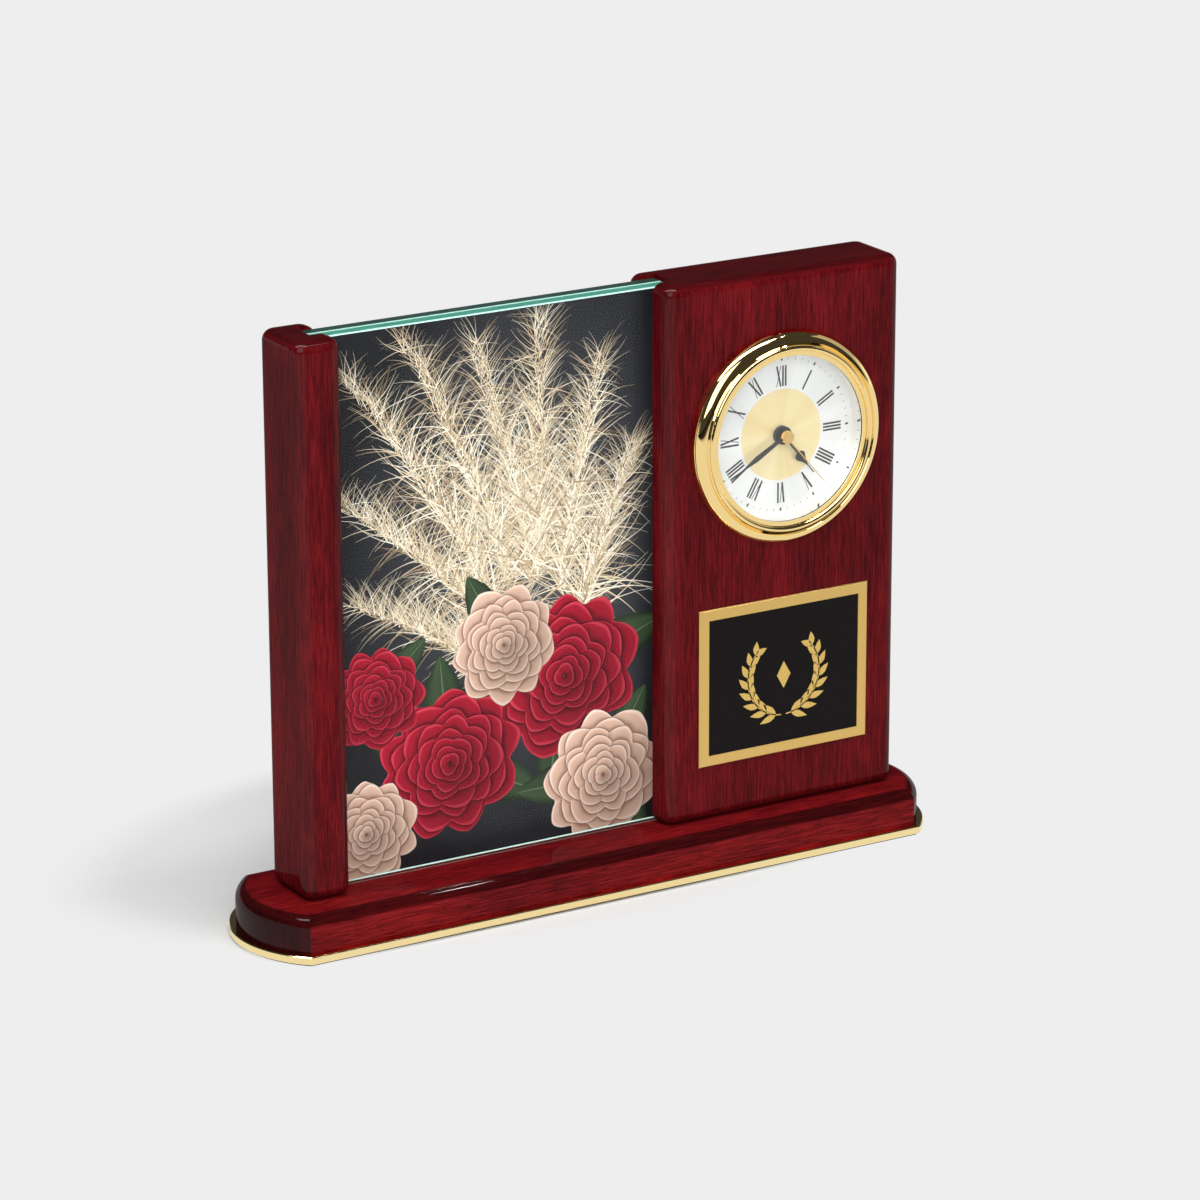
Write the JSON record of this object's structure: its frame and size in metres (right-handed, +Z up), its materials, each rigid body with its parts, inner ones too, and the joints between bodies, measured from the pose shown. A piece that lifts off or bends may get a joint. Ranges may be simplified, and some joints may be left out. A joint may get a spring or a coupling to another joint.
{
  "type": "photo frame clock",
  "caption": "Lacquered wood desk frame holding a print between two glass panes, with a round quartz clock insert and a plate on its panel, on a gold-edged base.",
  "frame": {"origin": "on the resting surface under the middle of the base", "axes": "+X along the base towards the clock panel, +Y towards the back, +Z up"},
  "size_m": [0.2486, 0.0516, 0.1944],
  "materials": {
    "lacquered_wood": "stained, clear high gloss",
    "gold_metal": "polished",
    "name_plate_metal": "black field with a satin gold border",
    "felt": "pressed felt",
    "float_glass": "clear, seamed edges",
    "crystal_glass": "clear",
    "print_paper": "glossy resin-coated print",
    "dial_metal": "spun satin",
    "black_hands": "satin black",
    "band_rubber": "moulded",
    "black_plastic": "moulded",
    "movement_plastic": "moulded",
    "wheel_plastic": "moulded",
    "screw_steel": "zinc plated",
    "motor_iron": "annealed",
    "coil_copper": "enamelled copper wire",
    "board_laminate": "solder mask",
    "plated_can": "nickel plated"
  },
  "bodies": {
    "frame": {"felt_pad": "felt", "base_plate": "gold_metal", "base": "lacquered_wood", "left_post": "lacquered_wood", "clock_panel": "lacquered_wood", "base_screws": "screw_steel", "name_plate": "name_plate_metal"},
    "front_glass": {"front_glass": "float_glass"},
    "back_glass": {"back_glass": "float_glass"},
    "photo_print": {"photo_print": "print_paper"},
    "clock_insert": {"bezel": "gold_metal", "crystal": "crystal_glass", "dial_ring": "dial_metal", "dial": "dial_metal", "insert_cup": "black_plastic", "grip_band": "band_rubber", "train_plate": "movement_plastic", "back_plate": "movement_plastic", "movement_screws": "screw_steel", "stator": "motor_iron", "coil_core": "motor_iron", "coil": "coil_copper", "circuit_board": "board_laminate", "quartz_crystal": "plated_can", "battery_cell": "plated_can", "contact_negative": "screw_steel", "contact_positive": "screw_steel"},
    "battery_hatch": {"battery_hatch": "black_plastic"},
    "seconds_works": {"seconds_wheel": "wheel_plastic", "second_hand": "gold_metal"},
    "rotor": {"rotor": "wheel_plastic"},
    "intermediate_wheel": {"intermediate_wheel": "wheel_plastic"},
    "third_wheel": {"third_wheel": "wheel_plastic"},
    "centre_wheel": {"centre_wheel": "wheel_plastic"},
    "minute_works": {"minute_pinion": "wheel_plastic", "minute_hand": "black_hands"},
    "motion_wheel": {"motion_wheel": "wheel_plastic"},
    "hour_works": {"hour_wheel": "wheel_plastic", "hour_hand": "black_hands"},
    "setting_knob": {"setting_stem": "wheel_plastic", "setting_knob": "black_plastic"}
  },
  "joints": [
    {"name": "front_glass_lift", "type": "slide", "parent": "frame", "child": "front_glass", "axis": [0, 0, 1], "range_m": [0, 0.19]},
    {"name": "back_glass_lift", "type": "slide", "parent": "frame", "child": "back_glass", "axis": [0, 0, 1], "range_m": [0, 0.19]},
    {"name": "print_lift", "type": "slide", "parent": "frame", "child": "photo_print", "axis": [0, 0, 1], "range_m": [0, 0.19]},
    {"name": "insert_pull", "type": "slide", "parent": "frame", "child": "clock_insert", "axis": [0, -1, 0], "range_m": [0, 0.03]},
    {"name": "hatch_turn", "type": "hinge", "parent": "clock_insert", "child": "battery_hatch", "pos_m": [0.05837, -0.0125, 0.12572], "axis": [0, 1, 0], "range_deg": [0, 60]},
    {"name": "second_hand_turn", "type": "hinge", "parent": "clock_insert", "child": "seconds_works", "pos_m": [0.06685, -0.0125, 0.1404], "axis": [0, 1, 0], "continuous": true},
    {"name": "rotor_turn", "type": "hinge", "parent": "clock_insert", "child": "rotor", "pos_m": [0.07823, -0.0125, 0.12969], "axis": [0, 1, 0], "continuous": true},
    {"name": "intermediate_turn", "type": "hinge", "parent": "clock_insert", "child": "intermediate_wheel", "pos_m": [0.07165, -0.0125, 0.13209], "axis": [0, 1, 0], "continuous": true},
    {"name": "third_turn", "type": "hinge", "parent": "clock_insert", "child": "third_wheel", "pos_m": [0.0716, -0.0125, 0.14863], "axis": [0, 1, 0], "continuous": true},
    {"name": "centre_turn", "type": "hinge", "parent": "clock_insert", "child": "centre_wheel", "pos_m": [0.06685, -0.0125, 0.1404], "axis": [0, 1, 0], "continuous": true},
    {"name": "minute_hand_turn", "type": "hinge", "parent": "clock_insert", "child": "minute_works", "pos_m": [0.06685, -0.0125, 0.1404], "axis": [0, 1, 0], "continuous": true},
    {"name": "motion_turn", "type": "hinge", "parent": "clock_insert", "child": "motion_wheel", "pos_m": [0.05985, -0.0125, 0.1404], "axis": [0, 1, 0], "continuous": true},
    {"name": "hour_hand_turn", "type": "hinge", "parent": "clock_insert", "child": "hour_works", "pos_m": [0.06685, -0.0125, 0.1404], "axis": [0, 1, 0], "continuous": true},
    {"name": "knob_turn", "type": "hinge", "parent": "clock_insert", "child": "setting_knob", "pos_m": [0.05285, -0.0125, 0.1404], "axis": [0, 1, 0], "continuous": true}
  ],
  "couplings": [
    {"joint": "intermediate_turn", "follows": "second_hand_turn", "ratio": -5},
    {"joint": "rotor_turn", "follows": "second_hand_turn", "ratio": 30},
    {"joint": "third_turn", "follows": "second_hand_turn", "ratio": -0.13333},
    {"joint": "centre_turn", "follows": "second_hand_turn", "ratio": 0.016667},
    {"joint": "motion_turn", "follows": "minute_hand_turn", "ratio": -0.33333},
    {"joint": "hour_hand_turn", "follows": "minute_hand_turn", "ratio": 0.083333},
    {"joint": "knob_turn", "follows": "minute_hand_turn", "ratio": 1}
  ]
}
